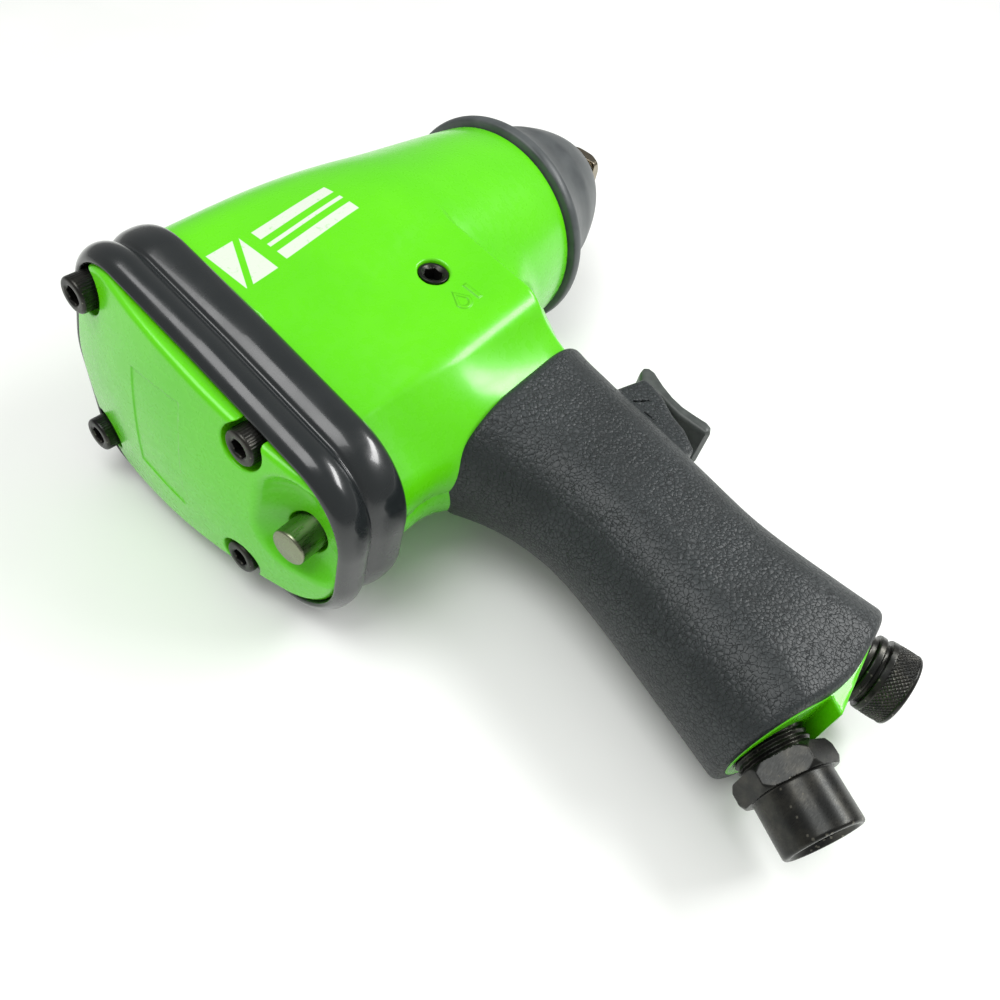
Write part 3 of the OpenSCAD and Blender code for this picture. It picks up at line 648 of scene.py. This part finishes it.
# ---- Air inlet and regulator knob ----
def inlet_local(side, y, h):
    """The inlet bushing on its own axis: mouth at h = 0, threads towards the handle."""
    r = np.hypot(side, y)
    turn = np.arctan2(y, side)
    barrel = meet(r - INLET_R, -h, 0.9)
    barrel = np.maximum(barrel, h - 13)
    nut = hexagon(side, y, NUT_FLATS)
    nut = np.maximum(nut, np.maximum(NUT_SPAN[0] - h, h - NUT_SPAN[1]))
    bevel = r - 11.3 + 0.62 * np.maximum(0, np.abs(h - 14.2) - 1.2)
    nut = meet(nut, bevel, 0.25)
    ridge = np.abs((h / THREAD_PITCH - turn / (2 * math.pi)) % 1 - 0.5) * 2
    stem = np.maximum(r - 7.7 - 0.6 * ridge, np.maximum(15 - h, h - 30))
    body = np.minimum(join(barrel, nut, 0.4), stem)
    inner = np.abs((h / 1.41 - turn / (2 * math.pi)) % 1 - 0.5) * 2
    mouth = np.maximum(r - 6.2 - 0.75 * inner, h - 12.5)
    flare = np.maximum(r - 7.7 + h * 0.9, h - 3)
    body = cut(body, np.minimum(mouth, flare), 0.15)
    return np.maximum(body, -(np.maximum(r - 4.6, h - 40)))


def on_own_axis(local, end, lean):
    def field(x, y, z):
        side, along = about(x, z, end, lean)
        return local(side, y, along)
    return field


inlet = iso_mesh("inlet_bushing", on_own_axis(inlet_local, INLET_END, INLET_LEAN),
                 (-166.5, -12.5, -167), (-130, 12.5, -131), 0.26)


def knob_local(side, y, h):
    r = np.hypot(side, y)
    turn = np.arctan2(y, side)
    grip_r = 8.8 - 0.16 * np.abs(h - 3.6) ** 2 * 0.12
    diamonds = np.abs(np.sin(27 * turn + h * 3.0)) + np.abs(np.sin(27 * turn - h * 3.0))
    knurled = r - grip_r + 0.16 * diamonds * ease(h, 0.9, 1.3) * (1 - ease(h, 5.6, 6.0))
    head = meet(knurled, -h, 0.9)
    head = np.maximum(head, h - 7.2)
    neck = np.maximum(r - 7.3, np.maximum(5 - h, h - 12))
    collar = meet(r - 8.3, np.abs(np.abs(h - 10.7) - 1.6) - 0.9, 0.5)
    shaft = np.maximum(r - 3.45, np.maximum(8 - h, h - 26))
    return np.minimum(np.minimum(head, join(neck, collar, 0.3)), shaft)


knob = iso_mesh("knob_knurled", on_own_axis(knob_local, KNOB_END, KNOB_LEAN),
                (-121, -9.8, -163.5), (-99, 9.8, -134), 0.2)


# ---- Materials ----
class Look:
    """A node material, built one node at a time."""

    def __init__(self, name):
        self.m = bpy.data.materials.new(name)
        self.m.use_nodes = True
        self.tree = self.m.node_tree
        self.tree.nodes.clear()
        self.shader = self.add("ShaderNodeBsdfPrincipled")
        out = self.add("ShaderNodeOutputMaterial")
        self.tree.links.new(self.shader.outputs[0], out.inputs[0])
        self.place = self.add("ShaderNodeTexCoord").outputs["Object"]

    def add(self, kind, inputs=None, **props):
        node = self.tree.nodes.new(kind)
        for key, value in props.items():
            setattr(node, key, value)
        for key, value in (inputs or {}).items():
            self.put(node.inputs[key], value)
        return node

    def put(self, socket, value):
        if isinstance(value, bpy.types.NodeSocket):
            self.tree.links.new(value, socket)
        else:
            socket.default_value = value

    def set(self, **values):
        for key, value in values.items():
            self.put(self.shader.inputs[key.replace("_", " ")], value)
        return self

    def noise(self, size_mm, detail=4, rough=0.55, stretch=(1, 1, 1), at=None):
        vector = self.add("ShaderNodeMapping", {"Vector": at or self.place,
                                                "Scale": stretch}).outputs[0]
        return self.add("ShaderNodeTexNoise", {
            "Vector": vector, "Scale": 1 / (size_mm * MM), "Detail": detail,
            "Roughness": rough}).outputs["Fac"]

    def spread(self, value, low, high, to_low=0.0, to_high=1.0):
        return self.add("ShaderNodeMapRange", {
            "Value": value, "From Min": low, "From Max": high, "To Min": to_low,
            "To Max": to_high}, interpolation_type="SMOOTHSTEP").outputs[0]

    def math(self, how, a, b=0.0):
        return self.add("ShaderNodeMath", {0: a, 1: b}, operation=how).outputs[0]

    def mix(self, share, a, b):
        node = self.add("ShaderNodeMix", data_type="RGBA")
        for socket, value in zip((node.inputs[0], node.inputs[6], node.inputs[7]),
                                 (share, a, b)):
            self.put(socket, value)
        return node.outputs[2]

    def bump(self, height, depth_mm, strength=1.0):
        node = self.add("ShaderNodeBump", {"Height": height, "Strength": strength,
                                           "Distance": depth_mm * MM})
        self.put(self.shader.inputs["Normal"], node.outputs[0])
        return self

    def split(self, at=None):
        return self.add("ShaderNodeSeparateXYZ", {0: at or self.place}).outputs


def rgb(r, g, b):
    return (r, g, b, 1.0)


def mark_mask(look):
    """A plain printed mark on the right flank: a rounded tile and three bars."""
    x, y, z = look.split()
    along = look.math("MULTIPLY", look.math("ADD", x, 0.131), 1000)
    up = look.math("MULTIPLY", look.math("SUBTRACT", z, 0.004), 1000)
    shapes = []
    for centre, half in (((-14.5, 0.3), (4.6, 6.2)), ((4.8, 4.2), (11.5, 1.5)),
                         ((4.8, 0.2), (11.5, 0.55)), ((4.8, -3.8), (11.5, 1.5))):
        du = look.math("ABSOLUTE", look.math("SUBTRACT", along, centre[0]))
        dv = look.math("ABSOLUTE", look.math("SUBTRACT", up, centre[1]))
        gap = look.math("MAXIMUM", look.math("SUBTRACT", du, half[0]),
                        look.math("SUBTRACT", dv, half[1]))
        shapes.append(gap)
    best = shapes[0]
    for shape in shapes[1:]:
        best = look.math("MINIMUM", best, shape)
    # A diagonal stripe left open through the tile
    stripe = look.math("ABSOLUTE", look.math(
        "ADD", look.math("ADD", along, 14.5), look.math("MULTIPLY", up, -0.6)))
    best = look.math("MAXIMUM", best, look.math("SUBTRACT", 0.9, stripe))
    mask = look.spread(best, -0.08, 0.08, 1.0, 0.0)
    right_side = look.spread(y, -0.012, -0.010, 1.0, 0.0)
    return look.math("MULTIPLY", mask, right_side)


def drop_mask(look):
    """A raised oil-drop sign under the plug: an outline and a short bar beside it."""
    x, y, z = look.split()
    along = look.math("MULTIPLY", look.math("ADD", x, 0.1150), 1000)
    up = look.math("MULTIPLY", look.math("ADD", z, 0.0342), 1000)
    low = look.math("MINIMUM", up, 0.0)
    high = look.math("MAXIMUM", up, 0.0)
    wide = look.math("ADD", look.math("ABSOLUTE", along), look.math("MULTIPLY", high, 0.62))
    reach = look.math("SQRT", look.math("ADD", look.math("MULTIPLY", wide, wide),
                                        look.math("MULTIPLY", low, low)))
    ring = look.math("ABSOLUTE", look.math("SUBTRACT", reach, 1.7))
    bar_u = look.math("SUBTRACT", look.math("ABSOLUTE", look.math("SUBTRACT", along, 3.9)), 0.1)
    bar_v = look.math("SUBTRACT", look.math("ABSOLUTE", look.math("SUBTRACT", up, 0.5)), 2.0)
    bar = look.math("MAXIMUM", bar_u, bar_v)
    mask = look.spread(look.math("MINIMUM", ring, bar), 0.1, 0.7, 1.0, 0.0)
    return look.math("MULTIPLY", mask, look.spread(y, -0.012, -0.010, 1.0, 0.0))


def green_paint(name, with_mark):
    look = Look(name)
    cloud = look.noise(35, 3)
    base = look.mix(look.spread(cloud, 0.3, 0.7), rgb(0.094, 0.57, 0.0005),
                    rgb(0.110, 0.62, 0.001))
    if with_mark:
        worn = look.spread(look.noise(1.1, 5), 0.25, 0.42, 0.55, 1.0)
        share = look.math("MULTIPLY", mark_mask(look), worn)
        base = look.mix(share, base, rgb(0.60, 0.66, 0.56))
    look.set(Base_Color=base, Roughness=look.spread(look.noise(2.5, 5), 0.3, 0.7, 0.24, 0.32),
             Coat_Weight=0.3, Coat_Roughness=0.14, IOR=1.42)
    peel = look.math("ADD", look.noise(1.6, 2), look.math("MULTIPLY", look.noise(0.5, 3), 0.35))
    if with_mark:
        peel = look.math("ADD", peel, look.math("MULTIPLY", drop_mask(look), 60))
    return look.bump(peel, 0.012, 0.6).m


def glossy_black(name):
    look = Look(name)
    dust = look.spread(look.noise(0.55, 6, 0.7), 0.66, 0.8)
    cloud = look.noise(9, 4)
    base = look.mix(look.math("MULTIPLY", dust, 0.25), rgb(0.011, 0.014, 0.015),
                    rgb(0.13, 0.135, 0.13))
    look.set(Base_Color=base, Roughness=look.spread(cloud, 0.3, 0.7, 0.2, 0.32),
             Coat_Weight=0.5, Coat_Roughness=0.1)
    return look.bump(look.noise(4.5, 3), 0.12, 0.35).m


def satin_black(name):
    look = Look(name)
    cloud = look.noise(6, 5)
    base = look.mix(look.spread(cloud, 0.3, 0.75), rgb(0.050, 0.057, 0.060),
                    rgb(0.080, 0.090, 0.092))
    look.set(Base_Color=base, Roughness=look.spread(cloud, 0.3, 0.7, 0.36, 0.48))
    return look.bump(look.noise(0.7, 5), 0.03, 0.5).m


def leather_rubber(name):
    """Pebbled leather grain: rounded cells about a millimetre wide with fine creases, the
    creases painted near black as painted shade.
    """
    look = Look(name)
    sway = look.add("ShaderNodeTexNoise", {"Vector": look.place, "Scale": 700.0,
                                           "Detail": 3.0}).outputs["Color"]
    push = look.add("ShaderNodeVectorMath", {0: sway, 1: (0.5, 0.5, 0.5)},
                    operation="SUBTRACT").outputs[0]
    push = look.add("ShaderNodeVectorMath", {0: push, "Scale": 0.0016},
                    operation="SCALE").outputs[0]
    at = look.add("ShaderNodeVectorMath", {0: look.place, 1: push}, operation="ADD").outputs[0]
    cells = look.add("ShaderNodeTexVoronoi", {"Vector": at, "Scale": 960.0,
                                              "Smoothness": 0.25},
                     feature="SMOOTH_F1").outputs["Distance"]
    edges = look.add("ShaderNodeTexVoronoi", {"Vector": at, "Scale": 960.0},
                     feature="DISTANCE_TO_EDGE").outputs["Distance"]
    dome = look.spread(cells, 0.05, 0.75, 1.0, 0.0)
    crease = look.spread(edges, 0.0, 0.07)
    patch = look.spread(look.noise(7, 3), 0.35, 0.65, 0.55, 1.0)
    height = look.math("MULTIPLY", look.math("ADD", look.math("MULTIPLY", dome, 0.8), crease),
                       patch)
    height = look.math("ADD", height, look.math("MULTIPLY", look.noise(0.35, 3), 0.25))
    cloud = look.noise(14, 4)
    rubber = look.mix(look.spread(cloud, 0.3, 0.7), rgb(0.016, 0.021, 0.022),
                      rgb(0.026, 0.032, 0.034))
    # Painted shade: the creases are painted near black for the shade that falls in them
    base = look.mix(crease, rgb(0.007, 0.009, 0.010), rubber)
    look.set(Base_Color=base, Roughness=look.spread(crease, 0, 1, 0.6, 0.44))
    return look.bump(height, 0.13, 0.9).m


def moulded_plastic(name):
    look = Look(name)
    cloud = look.noise(5, 5)
    base = look.mix(look.spread(cloud, 0.3, 0.7), rgb(0.043, 0.050, 0.047),
                    rgb(0.072, 0.082, 0.076))
    look.set(Base_Color=base, Roughness=look.spread(cloud, 0.3, 0.7, 0.34, 0.46))
    return look.bump(look.noise(0.5, 4), 0.02, 0.5).m


def oxide_steel(name):
    look = Look(name)
    patch = look.noise(5, 5, 0.6)
    dark = look.mix(look.spread(patch, 0.35, 0.75), rgb(0.030, 0.031, 0.030),
                    rgb(0.062, 0.060, 0.052))
    fleck = look.spread(look.noise(0.9, 5, 0.7), 0.66, 0.76)
    dark = look.mix(look.math("MULTIPLY", fleck, 0.35), dark, rgb(0.22, 0.19, 0.12))
    edge = look.add("ShaderNodeNewGeometry").outputs["Pointiness"]
    worn = look.spread(edge, 0.55, 0.62)
    base = look.mix(look.math("MULTIPLY", worn, 0.3), dark, rgb(0.46, 0.44, 0.36))
    scratch = look.noise(0.8, 4, 0.6, stretch=(1, 1, 6))
    look.set(Base_Color=base, Metallic=0.9,
             Roughness=look.spread(scratch, 0.3, 0.7, 0.26, 0.4))
    return look.bump(look.noise(0.4, 5), 0.012, 0.5).m


def steel(name, colour, rough, stretch=(1, 1, 1)):
    look = Look(name)
    brush = look.noise(0.5, 5, 0.6, stretch=stretch)
    cloud = look.noise(6, 4)
    tint = tuple(0.82 * c for c in colour)
    base = look.mix(look.spread(cloud, 0.3, 0.7), rgb(*tint), rgb(*colour))
    look.set(Base_Color=base, Metallic=1.0,
             Roughness=look.spread(brush, 0.3, 0.7, rough - 0.06, rough + 0.1))
    return look.bump(brush, 0.012, 0.5).m


def plain(name, colour, rough, grain_mm=0.6):
    look = Look(name)
    cloud = look.noise(grain_mm * 6, 4)
    tint = tuple(0.7 * c for c in colour)
    base = look.mix(look.spread(cloud, 0.3, 0.7), rgb(*tint), rgb(*colour))
    look.set(Base_Color=base, Roughness=rough)
    return look.bump(look.noise(grain_mm, 4), 0.03, 0.5).m


LOOKS = {
    "green_paint": green_paint("green_paint_plain", False),
    "black_oxide": oxide_steel("oxide_steel"),
    "bright_steel": steel("turned_steel", (0.30, 0.32, 0.22), 0.3, (0.12, 1, 1)),
    "hardened_steel": steel("dark_steel", (0.36, 0.34, 0.31), 0.32),
    "cast_iron": steel("machined_iron", (0.30, 0.29, 0.28), 0.42),
    "aluminium": steel("machined_aluminium", (0.75, 0.75, 0.76), 0.34),
    "brass": steel("turned_brass", (0.78, 0.56, 0.25), 0.28),
    "bronze": steel("sintered_bronze", (0.55, 0.36, 0.2), 0.5),
    "gloss_black": glossy_black("bumper_vinyl"),
    "satin_black": satin_black("boot_rubber"),
    "grip_rubber": leather_rubber("leather_rubber"),
    "seal_rubber": plain("seal_rubber_look", (0.02, 0.02, 0.021), 0.5),
    "gasket_fibre": plain("fibre_look", (0.13, 0.12, 0.1), 0.8),
    "vane_fibre": plain("phenolic_look", (0.28, 0.15, 0.07), 0.6),
    "trigger_plastic": moulded_plastic("trigger_plastic_look"),
}
marked_paint = green_paint("green_paint_marked", True)
golden = steel("tempered_steel", (0.32, 0.28, 0.21), 0.26)

slots = {s["node"]: s["material_slot"] for s in frame["record"]["subparts"]}


def dress(obj, look):
    obj.data.materials.clear()
    obj.data.materials.append(look)


for node, obj in frame["nodes"].items():
    dress(obj, LOOKS[slots[node]])


def piece(obj, node, body, look=None, also=()):
    """obj stands for a CAD node: same body, same material slot."""
    dress(obj, look or LOOKS[slots[node]])
    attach(obj, body)
    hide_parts(node, *also)


piece(housing, "motor_housing", "tool_body", marked_paint)
piece(cover, "rear_cover", "tool_body")
piece(bumper, "rear_bumper", "tool_body")
piece(gasket, "rear_gasket", "tool_body")
piece(screws, "cover_screws", "tool_body")
piece(washers, "cover_washers", "tool_body")
piece(plug, "oil_plug", "tool_body")
piece(boot, "nose_boot", "tool_body")
piece(grip, "grip_sleeve", "tool_body")
piece(inlet, "air_inlet", "tool_body")
piece(rod, "reverse_plunger", "reverse_group")
piece(anvil, "anvil", "anvil_group", golden)
piece(retainer, "socket_retainer_ring", "anvil_group", golden)
piece(trigger, "trigger", "trigger")
piece(knob, "regulator_knob", "regulator_group")


# ---- Floor, light and camera ----
def unit(v):
    return v / np.linalg.norm(v)


# The tool lies on its left side: on the bumper, the boot's bead and the handle's foot
RESTS = np.array([(-160, 33.4, 2), (-50, 31.4, 0), (-140, 18.7, -150)], float)
up = unit(np.cross(RESTS[1] - RESTS[0], RESTS[2] - RESTS[0]))
if up[1] > 0:
    up = -up
middle = RESTS.mean(0) - up * 0.3


def make_floor():
    a = unit(np.cross(up, (0, 0, 1)))
    b = np.cross(up, a)
    n, size = 24, 1500
    t = np.linspace(-size, size, n)
    rows = np.array([[middle + u * a + v * b for u in t] for v in t])
    i, j = np.meshgrid(range(n - 1), range(n - 1), indexing="ij")
    quads = np.stack([i * n + j, i * n + j + 1, (i + 1) * n + j + 1, (i + 1) * n + j], -1)
    return make_mesh("floor", rows.reshape(-1, 3), quads.reshape(-1, 4))


def floor_look():
    """Pale table top, seen only from the side that the tool lies on."""
    look = Look("pale_table")
    cloud = look.noise(120, 3)
    base = look.mix(look.spread(cloud, 0.3, 0.7), rgb(0.84, 0.855, 0.835),
                    rgb(0.865, 0.88, 0.86))
    look.set(Base_Color=base, Roughness=look.spread(look.noise(30, 4), 0.3, 0.7, 0.4, 0.5))
    look.bump(look.noise(2.0, 4), 0.02, 0.3)
    clear = look.add("ShaderNodeBsdfTransparent")
    blend = look.add("ShaderNodeMixShader")
    facing = look.add("ShaderNodeVectorMath", {
        0: look.add("ShaderNodeNewGeometry").outputs["Incoming"],
        1: tuple(up)}, operation="DOT_PRODUCT").outputs["Value"]
    look.put(blend.inputs[0], look.math("GREATER_THAN", facing, 0.0))
    look.put(blend.inputs[1], clear.outputs[0])
    look.put(blend.inputs[2], look.shader.outputs[0])
    out = [n for n in look.tree.nodes if n.bl_idname == "ShaderNodeOutputMaterial"][0]
    look.tree.links.new(blend.outputs[0], out.inputs[0])
    return look.m


floor = make_floor()
dress(floor, floor_look())
floor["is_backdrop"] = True

EYE = np.array((-261.9, -165.2, -119.9))
LOOK_ALONG = np.array((0.591, 0.769, 0.245))
HEAD_UP = np.array((0.551, -0.607, 0.573))
AIM_UP = 7 / 936


def turn_to(direction, top):
    """Rotation whose -Z runs along direction and whose +Y is near top."""
    back = -unit(direction)
    right = unit(np.cross(top, back))
    return Matrix(np.stack([right, np.cross(back, right), back], axis=1).tolist()).to_4x4()


lens = bpy.data.cameras.new("photo_lens")
lens.lens = 33.7
lens.sensor_width = 36
lens.clip_start = 0.01
camera = bpy.data.objects.new("photo_view", lens)
bpy.context.scene.collection.objects.link(camera)
camera.matrix_world = (Matrix.Translation(Vector(EYE * MM))
                       @ turn_to(LOOK_ALONG + AIM_UP * HEAD_UP, HEAD_UP))
bpy.context.scene.camera = camera

target = np.array((-110.0, 0.0, -60.0))
view_right = unit(np.cross(LOOK_ALONG, HEAD_UP))


def softbox(name, where, size, power, tint=(1, 1, 1)):
    """A square soft light at a place in millimetres, aimed at the tool."""
    data = bpy.data.lights.new(name, "AREA")
    data.shape = "RECTANGLE"
    data.size, data.size_y = size[0] * MM, size[1] * MM
    data.energy = power
    data.color = tint
    light = bpy.data.objects.new(name, data)
    light.matrix_world = (Matrix.Translation(Vector(where * MM))
                          @ turn_to(target - where, up))
    bpy.context.scene.collection.objects.link(light)


flat_up = unit(HEAD_UP - up * (HEAD_UP @ up))
flat_right = np.cross(flat_up, up)
if flat_right @ view_right < 0:
    flat_right = -flat_right


def toward(rise, ahead, aside, distance):
    """A place seen from the tool: above the floor, up the picture and to its right."""
    return target + distance * unit(rise * up + ahead * flat_up + aside * flat_right)


softbox("window", toward(0.66, 0.08, 0.7, 620), (400, 130), 2.6)
softbox("ceiling", toward(0.94, -0.1, -0.3, 650), (380, 380), 2.0)

# The room is paler than what shiny surfaces mirror of it
world = bpy.data.worlds.new("studio")
world.use_nodes = True
background = world.node_tree.nodes["Background"]
background.inputs[0].default_value = rgb(1.0, 1.0, 0.985)
glossy = world.node_tree.nodes.new("ShaderNodeLightPath").outputs["Is Glossy Ray"]
level = world.node_tree.nodes.new("ShaderNodeMapRange")
level.inputs["To Min"].default_value = 0.76
level.inputs["To Max"].default_value = 0.30
world.node_tree.links.new(glossy, level.inputs["Value"])
world.node_tree.links.new(level.outputs[0], background.inputs[1])
bpy.context.scene.world = world
bpy.context.scene.view_settings.view_transform = "Standard"

boxes = {"cad": cad_box, "visual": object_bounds()}
{k: [list(map(float, c)) for c in v] for k, v in boxes.items()}
